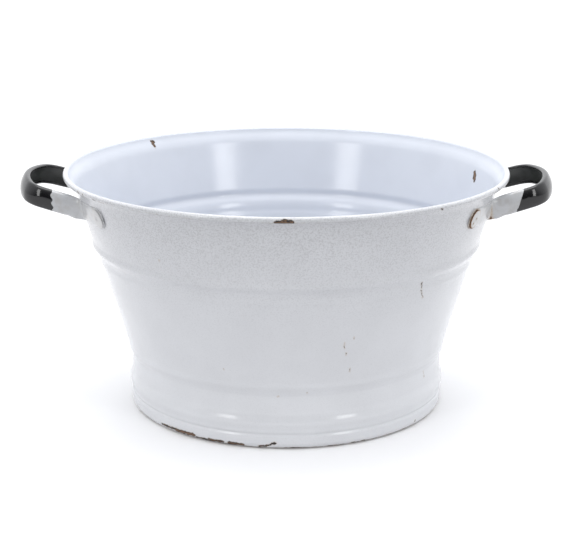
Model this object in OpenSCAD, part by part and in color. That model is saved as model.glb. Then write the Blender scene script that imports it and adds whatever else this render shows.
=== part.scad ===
// Enamel wash basin: a round pressed steel tub with a rolled rim and two riveted strap handles.
// Millimetres, +Z up. The tub stands on Z = 0 round the origin and the handles point along X.

/* [Tub] */
// Height from the floor to the top of the rolled rim
tub_h = 238; // [200:1:280]
// Outside radius of the rolled rim
rim_r = 220; // [205:1:245]
// Thickness of the enamelled sheet
wall_t = 1.2; // [0.9:0.1:1.8]
// Height over which the wall turns out into the rim
flare_h = 12; // [8:1:13]
// How far the wall turns out into the rim
flare_out = 4.6; // [3:0.2:6]
// Diameter of the stiffening wire inside the rim
wire_d = 2.6; // [2.2:0.1:3.6]
// Free space round the wire
wire_fit = 0.3; // [0.2:0.05:0.5]
// Width of the slit left where the rolled edge comes back to the wall
curl_gap = 0.5; // [0.3:0.1:0.8]

/* [Foot of the tub] */
// Outside radius of the foot
foot_r = 157.8; // [145:0.2:170]
// Radius of the rounded bottom edge
foot_corner = 6; // [4:0.5:9]
// Height of the waist, where the upright foot meets the sloping wall
waist_z = 52; // [44:1:62]
// How far the waist is drawn in from the foot
waist_in = 1.3; // [0.6:0.1:2]
// Width of the flat ring that the tub stands on
standing_w = 10.8; // [6:0.2:24]
// Height of the raised panel above the floor
panel_rise = 3; // [1:0.5:6]

/* [Pressed rings] */
// Height of the shallow groove above the bottom edge
groove_z = 14.5; // [13:0.5:16]
// Depth of that groove
groove_in = 0.7; // [0.3:0.1:1]
// Height of the ring round the foot
ring_z = 25; // [23:1:30]
// How far that ring stands out
ring_out = 0.7; // [0.3:0.1:1.2]
// Height of the small ring above the waist
lip_rise = 9; // [7:0.5:16]
// How far that small ring stands out
lip_out = 0.5; // [0.2:0.1:1]
// Distance of the faint ring below the large one
faint_drop = 16.5; // [16.5:0.5:30]
// How far the faint ring stands out
faint_out = 0.25; // [0.1:0.05:0.5]
// Distance of the large ring below the top of the rim
bead_drop = 71.5; // [64:0.5:76]
// How far the large ring stands out
bead_out = 1.4; // [0.6:0.1:2]
// How far the wall above the large ring is set out from the wall below it
step_out = 1.3; // [0.6:0.1:2]

/* [Handles] */
// Distance below the top of the rim at which the middle plane of a handle meets the wall
handle_drop = 29; // [28:0.5:34]
// Angle at which a handle rises outward
handle_tilt = 15.5; // [8:0.5:20]
// Reach of a handle from the wall to its outer face, along its plane
handle_reach = 61.1; // [54:0.5:72]
// Radius of the outer face across the middle of the handle
grip_r = 104; // [80:1:140]
// Half the angle that the middle of the handle turns through
grip_turn = 24; // [18:1:28]
// Radius of the outer face at the two corners of the handle
corner_r = 24; // [18:1:30]
// Angle at which the legs spread toward the wall
leg_spread = 6; // [0:1:10]
// Height of the strap
strap_h = 20; // [17:0.5:23]
// Depth of the strap's channel from its crown to its open edge
strap_depth = 7.5; // [6:0.5:9]
// Thickness of the strap
strap_t = 1.5; // [1.2:0.1:2]
// Radius of the crown across the strap
crown_r = 22; // [18:1:40]
// Radius of the strap's two shoulders
shoulder_r = 3.2; // [2.6:0.1:3.6]
// Radius of the rolled edges of the channel
edge_r = 1.3; // [1:0.1:1.5]

/* [Feet of the handles] */
// Height of a foot across the wall
foot_h = 21; // [20:0.5:23]
// Thickness of a foot
foot_t = 1.5; // [1:0.1:2]
// Distance along the wall from a leg to its rivet
foot_len = 52; // [40:1:60]
// Rise of the rivet above the middle of the leg
foot_rise = 4; // [0:0.5:5]
// Clearance between a foot and the wall
seat_gap = 0.25; // [0.15:0.05:0.4]

/* [Rivets] */
// Diameter of the flat rivet heads
head_d = 19; // [16:0.5:19.5]
// Thickness of the rivet heads at the edge
head_t = 0.9; // [0.6:0.1:1.4]
// Rise of the shallow dome on a rivet head
head_dome = 0.5; // [0.3:0.1:0.8]
// Diameter of the dimple in the middle of a head
dimple_d = 5; // [3:0.5:7]
// Depth of that dimple
dimple_in = 0.6; // [0.3:0.1:0.8]
// Diameter of the rivet shank
shank_d = 6; // [5:0.2:7]
// Diameter of the flush end of a rivet inside the tub
tail_d = 8.6; // [8:0.2:10]
// Height of the cone at the flush end
tail_h = 0.7; // [0.5:0.1:0.8]
// Clearance round a rivet in its hole
hole_fit = 0.1; // [0.05:0.05:0.2]

/* [Hidden] */
$fn = 96;
// Radius of the rolled rim's section and the place of its centre
curl_r = wire_d / 2 + wire_fit + wall_t;
curl_x = rim_r - curl_r;
curl_z = tub_h - curl_r;
// Heights that hang from the rim or stand on the waist
handle_z = tub_h - handle_drop;
bead_z = tub_h - bead_drop;
faint_z = bead_z - faint_drop;
lip_z = waist_z + lip_rise;
// Radius of the raised panel in the bottom
panel_r = foot_r - foot_corner - standing_w - panel_rise;
// Where the sheet runs into the inner side of the rolled rim, lapped a little into it, and the
// straight wall below
join_lap = wall_t / 5;
join_z = curl_z - wall_t;
join_r = curl_x - curl_r + wall_t + join_lap;
flare_z = join_z - flare_h;
neck_r = foot_r - waist_in;
slope = (join_r - flare_out - step_out - neck_r) / (join_z - waist_z);
lean = atan(slope);
// Direction from the rim's middle to its slit, down from the horizontal
curl_turn = 96;
// Half heights of the pressed rings
groove_w = 2.5;
ring_w = 7;
lip_w = 6;
faint_w = 5;
bead_w = 9;
// Half heights of the draw-in at the waist and of the step in the wall, and the place of the step
waist_w = 5;
step_w = 6.5;
step_z = bead_z - 5;

// Smooth hump of unit height, zero beyond its half width
function hump(d, w) = abs(d) < w ? (1 + cos(180 * d / w)) / 2 : 0;
// Smooth rise from 0 to 1 between -w and w
function rise(d, w) = d <= -w ? 0 : d >= w ? 1 : (1 + sin(90 * d / w)) / 2;
// Outside radius of the wall at a height
function wall_r(z) = z <= waist_z
    ? foot_r - waist_in * rise(z - ring_z - ring_w, waist_w)
        - groove_in * hump(z - groove_z, groove_w) + ring_out * hump(z - ring_z, ring_w)
    : neck_r + slope * (z - waist_z)
        + lip_out * hump(z - lip_z, lip_w) + faint_out * hump(z - faint_z, faint_w)
        + bead_out * hump(z - bead_z, bead_w) + step_out * rise(z - step_z, step_w)
        + flare_out * pow(max(0, z - flare_z) / flare_h, 2);
// Outward unit normal of the wall, as radius and height
function wall_dir(z) = let (s = (wall_r(z + 0.05) - wall_r(z - 0.05)) / 0.1) [1, -s] / sqrt(1 + s * s);
// Point at a distance out from the wall's outer face
function wall_at(z, d = 0) = [wall_r(z), z] + d * wall_dir(z);
// Even steps between two ends
function span(a, b, n) = [for (i = [0 : n]) a + (b - a) * i / n];
// Points round an arc
function arc(x, y, r, from, to, n) = [for (a = span(from, to, n)) [x + r * cos(a), y + r * sin(a)]];
// The points of a list in the other order, and the same reflected above the middle
function back(list) = [for (i = [len(list) - 1 : -1 : 0]) list[i]];
function over(list) = [for (p = back(list)) [p[0], -p[1]]];
// Heights at which the wall's outline has a point, close together only where it bends
stations = concat(
    span(foot_corner, groove_z - groove_w, 1), span(groove_z - groove_w / 2, groove_z + groove_w, 3),
    span(ring_z - ring_w, ring_z + ring_w, 8),
    [ring_z + ring_w + waist_w / 2, ring_z + ring_w + waist_w, waist_z],
    span(lip_z - lip_w, lip_z + lip_w, 6), span(faint_z - faint_w, faint_z + faint_w, 5),
    span(step_z - step_w, bead_z + bead_w, 14), span(flare_z, join_z, 7));
// How far the strap's lengths run into each other, and how much smaller they are drawn there
lap_len = 1;
lap_in = 0.05;

// Handle path: centre of the corner arcs, and the crown of a leg where its arc ends
corner_x = handle_reach - grip_r + (grip_r - corner_r) * cos(grip_turn);
corner_y = (grip_r - corner_r) * sin(grip_turn);
leg_x = corner_x + corner_r * sin(leg_spread);
leg_y = corner_y + corner_r * cos(leg_spread);
// Centre of the strap's shoulders, and the angle that its crown turns through on each side
shoulder_y = strap_h / 2 - shoulder_r;
crown_turn = asin(shoulder_y / (crown_r - shoulder_r));
shoulder_x = (crown_r - shoulder_r) * cos(crown_turn) - crown_r;
// Where the middle of a leg meets the wall
leg_wall_y = leg_y + leg_x * tan(leg_spread);
leg_wall_x = sqrt(pow(wall_r(handle_z), 2) - pow(leg_wall_y, 2));
leg_wall_z = handle_z - (wall_r(handle_z) - leg_wall_x) * tan(handle_tilt);
leg_turn = asin(leg_wall_y / wall_r(leg_wall_z));
// Where a rivet goes through the wall
rivet_z = leg_wall_z + foot_rise;
rivet_turn = leg_turn + foot_len / wall_r(rivet_z) * 180 / PI;
head_seat = seat_gap + foot_t + hole_fit;
// How far a cut runs past the faces that it goes through
cut_past = 2;

// Which piece to draw: all, or one of the names above

// Cone bounded by the wall's straight outer face, moved out by d, between the large ring and the flare
module wall_core(d) {
    low_z = bead_z + bead_w;
    out = d / cos(lean);
    translate([0, 0, low_z])
        cylinder(h = flare_z - low_z, r1 = wall_r(low_z) + out, r2 = wall_r(flare_z) + out);
}

// Half outline of the pressed sheet, from the middle of the bottom to the rim
module sheet_outline() {
    // Shift of the panel's corners on the inner face
    k = wall_t * tan(22.5);
    mid = foot_r - foot_corner;
    outer = concat(
        [[0, panel_rise], [panel_r, panel_rise], [panel_r + panel_rise, 0]],
        arc(mid, foot_corner, foot_corner, -90, -15, 5),
        [for (z = stations) wall_at(z)]);
    inner = concat(
        [[0, panel_rise + wall_t], [panel_r + k, panel_rise + wall_t], [panel_r + panel_rise + k, wall_t]],
        arc(mid, foot_corner, foot_corner - wall_t, -90, -15, 5),
        [for (z = stations) wall_at(z, -wall_t)]);
    polygon(concat(outer, back(inner)));
}

// Puts its children at the middle of the rolled rim's section
module at_curl() {
    translate([curl_x, curl_z]) children();
}

module tub_shell() {
    color([0.87, 0.89, 0.91]) difference() {
        rotate_extrude() difference() {
            union() {
                sheet_outline();
                at_curl() circle(curl_r);
            }
            at_curl() circle(curl_r - wall_t);
            at_curl() rotate(-curl_turn) translate([0, -curl_gap / 2]) square([curl_r + 1, curl_gap]);
        }
        rivet_places() rivet_hole();
    }
}

module rim_wire() {
    color([0.45, 0.45, 0.46]) rotate_extrude() at_curl() circle(d = wire_d);
}

// Lower half of the strap's face at a depth d below its surface, from the side to near the crown,
// whose arc is drawn in five even steps from one shoulder to the other
function strap_face(d) = concat(
    arc(shoulder_x, -shoulder_y, shoulder_r - d, -90, -crown_turn, 3),
    arc(-crown_r, 0, crown_r - d, -0.6 * crown_turn, -0.2 * crown_turn, 1));

// Section of the strap, drawn d smaller all round: a channel with a crowned face, open toward the
// tub, with rolled edges
module strap_section(d = 0) {
    lip = arc(edge_r - strap_depth, edge_r - strap_h / 2, edge_r - d, 20, 270, 7);
    half = concat(back(strap_face(strap_t - d)), lip, strap_face(d));
    polygon(concat(half, over(half)));
}

// Curved lengths of a handle's strap in its own plane. The middle runs a little way into the corners.
module strap_bends() {
    lap = lap_len / grip_r * 180 / PI;
    translate([handle_reach - grip_r, 0]) rotate(-grip_turn - lap)
        rotate_extrude(angle = 2 * (grip_turn + lap)) translate([grip_r, 0]) strap_section(lap_in);
    for (m = [0, 1]) mirror([0, m, 0]) translate([corner_x, corner_y]) rotate(grip_turn)
        rotate_extrude(angle = 90 - leg_spread - grip_turn) translate([corner_r, 0]) strap_section();
}

// Straight leg on the +Y side, from past the wall's face to a little way inside its corner
module strap_leg() {
    past = leg_x + strap_h + cut_past;
    translate([leg_x, leg_y]) rotate(-leg_spread) translate([-past, 0])
        rotate([90, 0, 90]) linear_extrude(past + lap_len) strap_section(lap_in);
}

// Places its children on the wall at a turn and height, with Z along the outward normal
module on_wall(turn, z) {
    rotate(turn) translate([wall_r(z), 0, z]) rotate([0, 90 + lean, 0]) children();
}

// Foot of a leg on the +X, +Y side: a plate that follows the wall, with a round end at the rivet
module foot() {
    // The plate ends under the middle of the leg's channel
    reach = wall_r(rivet_z) * sin(rivet_turn - leg_turn) + strap_depth / 2;
    drop = atan(foot_rise / foot_len);
    // How far the wall curves away from the rivet's plane over that reach
    fall = reach * reach / wall_r(rivet_z);
    intersection() {
        difference() {
            wall_core(seat_gap + foot_t);
            wall_core(seat_gap);
        }
        on_wall(rivet_turn, rivet_z) translate([0, 0, -fall]) {
            cylinder(d = foot_h, h = fall + 2 * foot_t);
            rotate(-drop) translate([-foot_h / 2, -reach, 0]) cube([foot_h, reach, fall + 2 * foot_t]);
        }
    }
}

// Puts the plane of a handle at its height and angle
module handle_plane() {
    translate([wall_r(handle_z), 0, handle_z]) rotate([0, -handle_tilt, 0]) children();
}

module handle() {
    handle_plane() strap_bends();
    for (m = [0, 1]) mirror([0, m, 0]) {
        difference() {
            handle_plane() strap_leg();
            wall_core(seat_gap);
        }
        difference() {
            foot();
            on_wall(rivet_turn, rivet_z) rivet_hole();
        }
    }
}

module right_handle() {
    color([0.06, 0.06, 0.07]) handle();
}

module left_handle() {
    color([0.06, 0.06, 0.07]) mirror([1, 0, 0]) handle();
}

// Hole for one rivet through the foot and the wall, countersunk on the inside
module rivet_hole() {
    shank_r = shank_d / 2 + hole_fit;
    tail_r = tail_d / 2 + hole_fit;
    low = -wall_t - cut_past;
    high = head_seat + cut_past;
    rotate_extrude() polygon([[0, low], [tail_r, low], [tail_r, -wall_t], [shank_r, tail_h - wall_t],
        [shank_r, high], [0, high]]);
}

// All four rivet places
module rivet_places() {
    for (a = [rivet_turn, 180 - rivet_turn, 180 + rivet_turn, -rivet_turn]) on_wall(a, rivet_z) children();
}

// One rivet with its axis along Z, the wall's outer face at Z = 0
module rivet() {
    head_r = head_d / 2;
    dimple_r = dimple_d / 2;
    function dome(x) = head_seat + head_t + head_dome * (1 - pow(x / head_r, 2));
    function dimple(x) = dome(x) - dimple_in * (1 - pow(x / dimple_r, 2));
    color([0.84, 0.86, 0.87]) rotate_extrude() polygon(concat(
        [[0, -wall_t], [tail_d / 2, -wall_t], [shank_d / 2, tail_h - wall_t], [shank_d / 2, head_seat],
            [head_r, head_seat]],
        [for (x = span(head_r, dimple_r, 6)) [x, dome(x)]],
        [for (x = [dimple_r / 2, 0]) [x, dimple(x)]]));
}

module left_front_rivet() {
    on_wall(180 + rivet_turn, rivet_z) rivet();
}

module left_rear_rivet() {
    on_wall(180 - rivet_turn, rivet_z) rivet();
}

module right_front_rivet() {
    on_wall(-rivet_turn, rivet_z) rivet();
}

module right_rear_rivet() {
    on_wall(rivet_turn, rivet_z) rivet();
}

tub_shell();
rim_wire();
left_handle();
right_handle();
left_front_rivet();
left_rear_rivet();
right_front_rivet();
right_rear_rivet();
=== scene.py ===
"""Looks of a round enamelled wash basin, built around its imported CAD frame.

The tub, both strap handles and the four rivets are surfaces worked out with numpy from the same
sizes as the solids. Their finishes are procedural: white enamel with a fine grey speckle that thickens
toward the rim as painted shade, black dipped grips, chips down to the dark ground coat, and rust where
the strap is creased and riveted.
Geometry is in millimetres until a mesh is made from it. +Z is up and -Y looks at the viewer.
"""
from __future__ import annotations

import logging
import math
from dataclasses import dataclass, field
from enum import Enum

import bpy
import numpy as np
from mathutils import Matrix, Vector


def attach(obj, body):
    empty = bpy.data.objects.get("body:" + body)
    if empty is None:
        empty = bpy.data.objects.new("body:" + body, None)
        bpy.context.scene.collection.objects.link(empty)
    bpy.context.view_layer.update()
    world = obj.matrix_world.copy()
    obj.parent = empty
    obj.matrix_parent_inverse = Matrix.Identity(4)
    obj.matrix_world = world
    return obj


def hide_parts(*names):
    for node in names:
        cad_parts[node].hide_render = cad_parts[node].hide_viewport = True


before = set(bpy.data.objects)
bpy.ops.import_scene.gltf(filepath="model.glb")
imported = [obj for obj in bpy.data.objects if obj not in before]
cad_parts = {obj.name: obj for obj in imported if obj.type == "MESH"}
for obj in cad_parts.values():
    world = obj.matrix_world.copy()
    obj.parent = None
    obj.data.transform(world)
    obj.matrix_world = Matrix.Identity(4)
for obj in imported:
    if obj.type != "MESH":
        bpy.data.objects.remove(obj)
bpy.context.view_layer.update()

MM = 0.001
WHITE = (1.0, 1.0, 1.0, 1.0)
log = logging.getLogger("wash_basin")


class Side(Enum):
    """The two sides that the handles stand on, by the sign of X."""

    LEFT = -1
    RIGHT = 1


class Place(Enum):
    """The two ends of a handle, by the sign of Y."""

    FRONT = -1
    REAR = 1


class Face(Enum):
    """Which face of the sheet a mark lies on."""

    OUTSIDE = "outside"
    INSIDE = "inside"


class Zone(Enum):
    """Bands of the tub by height, each with a material that holds only its own marks."""

    FOOT = (-1.0, 40.0)
    WALL = (40.0, 224.0)
    RIM = (224.0, 300.0)


class Wear(Enum):
    """What a mark on the enamel is."""

    CHIP = "chip"
    STAIN = "stain"


# shapes as formulas


def hump(distance: np.ndarray, half: float) -> np.ndarray:
    """Smooth hump: half of one plus the cosine, 1 in the middle and 0 beyond its half width."""
    return np.where(np.abs(distance) < half, (1 + np.cos(np.pi * distance / half)) / 2, 0.0)


def rise(distance: np.ndarray, half: float) -> np.ndarray:
    """Smooth rise: half of one plus the sine, from 0 at minus the half width to 1 at plus it."""
    return (1 + np.sin(np.pi / 2 * np.clip(distance / half, -1, 1))) / 2


def ease(value: np.ndarray) -> np.ndarray:
    """Cubic ease from 0 to 1: three times the square less twice the cube, clipped at both ends."""
    v = np.clip(value, 0, 1)
    return v * v * (3 - 2 * v)


def unit(vectors: np.ndarray) -> np.ndarray:
    """Vectors divided by their own lengths along the last axis."""
    return vectors / np.linalg.norm(vectors, axis=-1, keepdims=True)


def arc(x: float, y: float, radius: float, start: float, end: float, count: int) -> np.ndarray:
    """Points on a circle's arc.

    Args:
        x, y: the circle's centre.
        radius: its radius.
        start, end: the arc's ends in degrees, counter-clockwise from +x.
        count: how many points, both ends included.
    Returns:
        An array of count by 2.
    """
    a = np.radians(np.linspace(start, end, count))
    return np.stack([x + radius * np.cos(a), y + radius * np.sin(a)], -1)


def make_mesh(name: str, points: np.ndarray, faces: list[list[int]], **attributes: np.ndarray) -> bpy.types.Object:
    """Makes a smooth-shaded object from points in millimetres.

    Args:
        name: the object's name.
        points: vertices, n by 3.
        faces: vertex numbers of each face, counter-clockwise from outside.
        attributes: one number for each vertex, stored under the keyword's name.
    Returns:
        The object, linked into the scene.
    """
    mesh = bpy.data.meshes.new(name)
    mesh.from_pydata((points * MM).tolist(), [], faces)
    for key, values in attributes.items():
        layer = mesh.attributes.new(key, "FLOAT", "POINT")
        layer.data.foreach_set("value", np.ascontiguousarray(values, dtype=np.float32).ravel())
    mesh.update()
    mesh.shade_smooth()
    thing = bpy.data.objects.new(name, mesh)
    bpy.context.scene.collection.objects.link(thing)
    return thing


def ring_faces(rows: int, columns: int) -> np.ndarray:
    """Quads between successive rings.

    Vertex row * columns + column joins its neighbour in the same ring, the last back to the first,
    and the same columns of the next ring.

    Args:
        rows: number of rings.
        columns: vertices in each ring.
    Returns:
        Vertex numbers, n by 4.
    """
    row, column = np.meshgrid(np.arange(rows - 1), np.arange(columns), indexing="ij")
    a = row * columns + column
    b = row * columns + (column + 1) % columns
    return np.stack([a, b, b + columns, a + columns], -1).reshape(-1, 4)


def cap_faces(ring: np.ndarray, pole: int, flip: bool) -> list[list[int]]:
    """Triangles from a ring of vertices to one pole, turned the other way if flip is set."""
    following = np.roll(ring, -1)
    pair = (following, ring) if flip else (ring, following)
    return np.stack([pair[0], pair[1], np.full_like(ring, pole)], -1).tolist()


def lathe(name: str, profile: np.ndarray, turns: np.ndarray, shift: np.ndarray | None = None,
          **attributes: np.ndarray) -> bpy.types.Object:
    """Turns a profile round the Z axis into a closed skin.

    A point is (r cos turn, r sin turn, z), where r and z come from the profile. The first and last
    profile points lie on the axis and become single poles.

    Args:
        name: the object's name.
        profile: radius and height, m by 2, from the bottom pole round the outside to the top pole.
        turns: azimuths of the columns in radians.
        shift: change of radius for each ring point, (m - 2) by columns.
        attributes: values for each ring point, (m - 2) by columns; a pole takes its ring's mean.
    Returns:
        The object.
    """
    rings = profile[1:-1]
    radius = rings[:, :1] + (0 if shift is None else shift)
    height = np.broadcast_to(rings[:, 1:], (len(rings), len(turns)))
    radius = np.broadcast_to(radius, height.shape)
    grid = np.stack([radius * np.cos(turns), radius * np.sin(turns), height], -1).reshape(-1, 3)
    poles = np.array([[0, 0, profile[0, 1]], [0, 0, profile[-1, 1]]])
    count = len(turns)
    first = np.arange(count)
    last = first + (len(rings) - 1) * count
    faces = ring_faces(len(rings), count).tolist()
    faces += cap_faces(first, len(grid), True) + cap_faces(last, len(grid) + 1, False)
    whole = {k: np.concatenate([v.ravel(), [v[0].mean(), v[-1].mean()]]) for k, v in attributes.items()}
    return make_mesh(name, np.concatenate([grid, poles]), faces, **whole)


# the wall that everything sits on


@dataclass(frozen=True)
class Wall:
    """Outer face of the tub's wall: foot, waist, sloping wall with pressed rings, flare under the rim."""

    tub_h: float = 238.0
    rim_r: float = 220.0
    sheet: float = 1.2
    curl_r: float = 2.8
    foot_r: float = 157.8
    foot_corner: float = 6.0
    waist_z: float = 52.0
    waist_in: float = 1.3
    groove_z: float = 14.5
    groove_in: float = 1.0
    ring_z: float = 25.0
    ring_out: float = 1.0
    lip_z: float = 61.0
    lip_out: float = 0.8
    faint_z: float = 150.0
    faint_out: float = 0.45
    bead_z: float = 166.5
    bead_out: float = 1.8
    step_out: float = 1.3
    flare_h: float = 12.0
    flare_out: float = 4.6

    @property
    def curl_x(self) -> float:
        """Radius at which the rolled rim's section is centred."""
        return self.rim_r - self.curl_r

    @property
    def curl_z(self) -> float:
        """Height at which the rolled rim's section is centred."""
        return self.tub_h - self.curl_r

    @property
    def join_z(self) -> float:
        """Height at which the sheet runs into the rolled rim."""
        return self.curl_z - self.sheet

    @property
    def slope(self) -> float:
        """Outward run of the straight wall for each unit of height."""
        join_r = self.curl_x - self.curl_r + 1.2 * self.sheet
        neck = self.foot_r - self.waist_in
        return (join_r - self.flare_out - self.step_out - neck) / (self.join_z - self.waist_z)

    @property
    def lean(self) -> float:
        """Angle of the straight wall from upright, in radians."""
        return math.atan(self.slope)

    def radius(self, z: np.ndarray | float) -> np.ndarray:
        """Outer radius at a height.

        Below the waist it is the foot less a smooth draw-in and the groove, plus the foot's ring.
        Above, it is a cone plus the pressed rings, a smooth step, and a parabola under the rim.

        Args:
            z: heights in millimetres.
        Returns:
            Radii in millimetres.
        """
        z = np.asarray(z, float)
        foot = (self.foot_r - self.waist_in * rise(z - self.ring_z - 7, 5)
                - self.groove_in * hump(z - self.groove_z, 2.5) + self.ring_out * hump(z - self.ring_z, 7))
        cone = (self.foot_r - self.waist_in + self.slope * (z - self.waist_z)
                + self.lip_out * hump(z - self.lip_z, 6) + self.faint_out * hump(z - self.faint_z, 5)
                + self.bead_out * hump(z - self.bead_z, 7.5) + self.step_out * rise(z - self.bead_z + 5, 6.5)
                + self.flare_out * np.clip((z - self.join_z) / self.flare_h + 1, 0, None) ** 2)
        return np.where(z <= self.waist_z, foot, cone)

    def place(self, turn: np.ndarray, z: np.ndarray, out: float = 0.0) -> np.ndarray:
        """Points at a distance out from the straight wall's face.

        Args:
            turn: azimuths in radians.
            z: heights of the foot of each normal.
            out: distance along the outward normal.
        Returns:
            Points with a last axis of 3.
        """
        r = self.radius(z) + out * math.cos(self.lean)
        return np.stack([r * np.cos(turn), r * np.sin(turn), z - out * math.sin(self.lean) + 0 * r], -1)

    def normal(self, turn: np.ndarray) -> np.ndarray:
        """Outward normals of the straight wall at azimuths in radians."""
        c, s = math.cos(self.lean), math.sin(self.lean)
        return np.stack([c * np.cos(turn), c * np.sin(turn), -s + 0 * turn], -1)

    def upward(self, turn: np.ndarray) -> np.ndarray:
        """Directions up the straight wall's face at azimuths in radians."""
        c, s = math.cos(self.lean), math.sin(self.lean)
        return np.stack([s * np.cos(turn), s * np.sin(turn), c + 0 * turn], -1)


@dataclass(frozen=True)
class Mark:
    """A chip, scratch or stain on the enamel, drawn as a stroke with round ends.

    Turns are in degrees and heights and the half width in millimetres.
    """

    turn: float
    z: float
    end_turn: float
    end_z: float
    half: float
    wear: Wear = Wear.CHIP
    face: Face = Face.OUTSIDE

    def ends(self, wall: Wall) -> tuple[np.ndarray, np.ndarray]:
        """Both ends of the stroke as points on the sheet.

        Args:
            wall: the wall that the mark lies on.
        Returns:
            The start and the end, in millimetres.
        """
        found = []
        for turn, z in ((self.turn, self.z), (self.end_turn, self.end_z)):
            r = float(wall.radius(min(z, wall.join_z)))
            if z < wall.foot_corner:
                r += math.sqrt(wall.foot_corner ** 2 - (wall.foot_corner - z) ** 2) - wall.foot_corner
            if z > wall.join_z - 1.5:
                side = 1 if self.face is Face.OUTSIDE else -1
                r = wall.curl_x + side * math.sqrt(max(0, wall.curl_r ** 2 - (z - wall.curl_z) ** 2))
            elif self.face is Face.INSIDE:
                r -= wall.sheet
            a = math.radians(turn)
            found.append(np.array([r * math.cos(a), r * math.sin(a), z]))
        return found[0], found[1]


# finishes


class Bench:
    """Lays out the shader nodes of one material."""

    def __init__(self, name: str) -> None:
        """Starts an empty material with its output.

        Args:
            name: the material's name.
        """
        self.material = bpy.data.materials.new(name)
        self.material.use_nodes = True
        self.tree = self.material.node_tree
        self.tree.nodes.clear()
        self.output = self.add("ShaderNodeOutputMaterial")

    def add(self, kind: str, **settings: object) -> bpy.types.Node:
        """Adds a node and sets its properties."""
        node = self.tree.nodes.new(kind)
        for key, value in settings.items():
            setattr(node, key, value)
        return node

    def feed(self, socket: bpy.types.NodeSocket, value: object) -> None:
        """Links a socket to another, or sets its own value."""
        if isinstance(value, bpy.types.NodeSocket):
            self.tree.links.new(value, socket)
        else:
            socket.default_value = value

    def maths(self, operation: str, *values: object, clamp: bool = False) -> bpy.types.NodeSocket:
        """Result of a Math node on one to three values."""
        node = self.add("ShaderNodeMath", operation=operation, use_clamp=clamp)
        for socket, value in zip(node.inputs, values):
            self.feed(socket, value)
        return node.outputs[0]

    def vector(self, operation: str, *values: object) -> bpy.types.Node:
        """A Vector Math node on its values."""
        node = self.add("ShaderNodeVectorMath", operation=operation)
        for socket, value in zip(node.inputs, values):
            self.feed(socket, value)
        return node

    def attribute(self, name: str) -> bpy.types.NodeSocket:
        """A number stored at the mesh's vertices."""
        return self.add("ShaderNodeAttribute", attribute_name=name).outputs["Fac"]

    def here(self) -> bpy.types.NodeSocket:
        """Object coordinates, in metres."""
        return self.add("ShaderNodeTexCoord").outputs["Object"]

    def noise(self, where: object, size: float, detail: float = 2.0, colour: bool = False) -> bpy.types.NodeSocket:
        """Noise whose grains are about the given size.

        Args:
            where: the coordinates.
            size: grain size in millimetres.
            detail: octaves of detail.
            colour: gives three numbers instead of one.
        Returns:
            A value round 0.5, or three of them.
        """
        node = self.add("ShaderNodeTexNoise")
        self.feed(node.inputs["Vector"], where)
        node.inputs["Scale"].default_value = 1 / (size * MM)
        node.inputs["Detail"].default_value = detail
        return node.outputs["Color" if colour else "Fac"]

    def band(self, value: object, low: float, high: float, to_low: float = 0.0, to_high: float = 1.0) -> bpy.types.NodeSocket:
        """Smooth step of a value from one number at low to another at high."""
        node = self.add("ShaderNodeMapRange", interpolation_type="SMOOTHSTEP")
        for socket, number in zip(node.inputs, (value, low, high, to_low, to_high)):
            self.feed(socket, number)
        return node.outputs[0]

    def blend(self, share: object, base: object, over: object, kind: str = "MIX") -> bpy.types.NodeSocket:
        """Colour mixed from base to over by a share."""
        node = self.add("ShaderNodeMix", data_type="RGBA", blend_type=kind)
        for socket, value in zip((node.inputs[0], node.inputs[6], node.inputs[7]), (share, base, over)):
            self.feed(socket, value)
        return node.outputs[2]

    def bump(self, height: object, depth: float, strength: float, normal: object = None) -> bpy.types.NodeSocket:
        """Normal bent by a height of 0 to 1 that stands for a depth in millimetres."""
        node = self.add("ShaderNodeBump")
        node.inputs["Strength"].default_value = strength
        node.inputs["Distance"].default_value = depth * MM
        self.feed(node.inputs["Height"], height)
        if normal is not None:
            self.feed(node.inputs["Normal"], normal)
        return node.outputs[0]

    def surface(self, **sockets: object) -> bpy.types.Material:
        """Finishes the material with a Principled shader.

        Args:
            sockets: the shader's inputs, with underscores for the spaces in their names.
        Returns:
            The material.
        """
        shader = self.add("ShaderNodeBsdfPrincipled")
        for key, value in sockets.items():
            self.feed(shader.inputs[key.replace("_", " ")], value)
        self.tree.links.new(shader.outputs[0], self.output.inputs["Surface"])
        return self.material


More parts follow.
